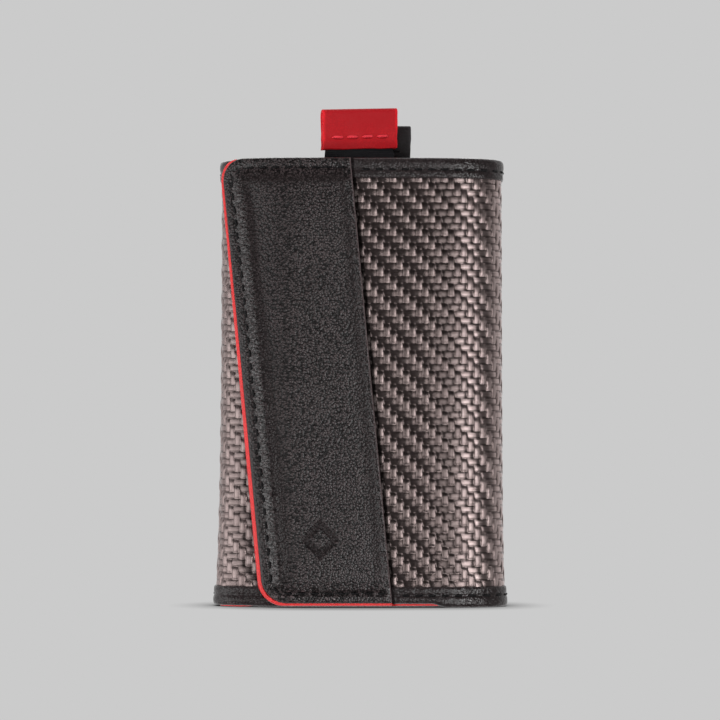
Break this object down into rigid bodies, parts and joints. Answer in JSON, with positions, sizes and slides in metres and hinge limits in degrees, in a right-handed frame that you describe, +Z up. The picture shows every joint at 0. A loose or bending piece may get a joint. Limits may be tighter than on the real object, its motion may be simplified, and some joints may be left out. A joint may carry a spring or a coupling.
{
  "type": "pull-tab card wallet",
  "caption": "Slim upright leather and woven-cloth card wallet with a wrap-round magnetic flap and two pull-tab straps that lift cards out of its pockets.",
  "frame": {"origin": "on the table under the middle of the pocket block, at the underside of the front pocket", "axes": "+Z up along the wallet's height, -Y towards the flap on the front, +X towards the flap's folded side"},
  "size_m": [0.0704, 0.0209, 0.1198],
  "materials": {
    "woven_carbon": "satin twill weave",
    "black_leather": "fine grain, semi matt",
    "red_leather": "smooth, semi gloss",
    "red_thread": "waxed thread",
    "black_thread": "waxed thread",
    "shield_cloth": "metallised cloth",
    "board": "bonded leather board",
    "foam": "thin felt padding",
    "magnet": "nickel plated",
    "strap": "black woven ribbon"
  },
  "bodies": {
    "pocket_block": {"back_board": "board", "back_bottom_binding": "black_leather", "back_corner_linings": "red_leather", "back_stitching": "black_thread", "back_top_binding": "black_leather", "back_weave": "woven_carbon", "front_pocket_gusset": "black_leather", "front_pocket_panel": "black_leather", "front_shield": "shield_cloth", "front_strap_anchor": "strap", "pocket_divider": "black_leather", "rear_pocket_gusset": "black_leather", "rear_shield": "shield_cloth", "rear_strap_anchor": "strap"},
    "right_spine": {"right_spine_bottom_binding": "black_leather", "right_spine_lining": "red_leather", "right_spine_stitching": "black_thread", "right_spine_top_binding": "black_leather", "right_spine_weave": "woven_carbon"},
    "flap": {"flap_bottom_binding": "black_leather", "flap_foam": "foam", "flap_leather": "black_leather", "flap_lining": "red_leather", "flap_magnets": "magnet", "flap_stiffener": "board", "flap_stitching": "black_thread", "flap_top_binding": "black_leather", "flap_weave": "woven_carbon"},
    "left_spine": {"left_spine_bottom_binding": "black_leather", "left_spine_lining": "red_leather", "left_spine_stitching": "black_thread", "left_spine_top_binding": "black_leather", "left_spine_weave": "woven_carbon"},
    "inner_flap": {"inner_flap_board": "board", "inner_flap_bottom_binding": "black_leather", "inner_flap_keepers": "magnet", "inner_flap_lining": "red_leather", "inner_flap_top_binding": "black_leather", "inner_flap_weave": "woven_carbon"},
    "front_tab": {"front_pull_strap": "strap", "red_grip": "red_leather", "red_grip_stitching": "red_thread"},
    "front_lift": {"front_lift_loop": "strap"},
    "rear_tab": {"black_grip": "black_leather", "black_grip_stitching": "black_thread", "rear_pull_strap": "strap"},
    "rear_lift": {"rear_lift_loop": "strap"}
  },
  "joints": [
    {"name": "spine_fold", "type": "hinge", "parent": "pocket_block", "child": "right_spine", "pos_m": [0.03227, 0.00737, 0.054], "axis": [0, 0, 1], "range_deg": [0, 90]},
    {"name": "flap_fold", "type": "hinge", "parent": "right_spine", "child": "flap", "pos_m": [0.03227, -0.00737, 0.054], "axis": [0, 0, 1], "range_deg": [0, 135]},
    {"name": "left_spine_fold", "type": "hinge", "parent": "pocket_block", "child": "left_spine", "pos_m": [-0.03227, 0.00737, 0.054], "axis": [0, 0, -1], "range_deg": [0, 21]},
    {"name": "inner_flap_fold", "type": "hinge", "parent": "left_spine", "child": "inner_flap", "pos_m": [-0.03227, -0.00467, 0.054], "axis": [0, 0, -1], "range_deg": [0, 21]},
    {"name": "front_pull", "type": "slide", "parent": "pocket_block", "child": "front_tab", "axis": [0, 0, 1], "range_m": [0, 0.06]},
    {"name": "front_lift", "type": "slide", "parent": "pocket_block", "child": "front_lift", "axis": [0, 0, 1], "range_m": [0, 0.03]},
    {"name": "rear_pull", "type": "slide", "parent": "pocket_block", "child": "rear_tab", "axis": [0, 0, 1], "range_m": [0, 0.06]},
    {"name": "rear_lift", "type": "slide", "parent": "pocket_block", "child": "rear_lift", "axis": [0, 0, 1], "range_m": [0, 0.03]}
  ],
  "couplings": [
    {"joint": "left_spine_fold", "follows": "flap_fold", "ratio": 0.15},
    {"joint": "inner_flap_fold", "follows": "flap_fold", "ratio": 0.15},
    {"joint": "front_lift", "follows": "front_pull", "ratio": 0.5},
    {"joint": "rear_lift", "follows": "rear_pull", "ratio": 0.5}
  ]
}
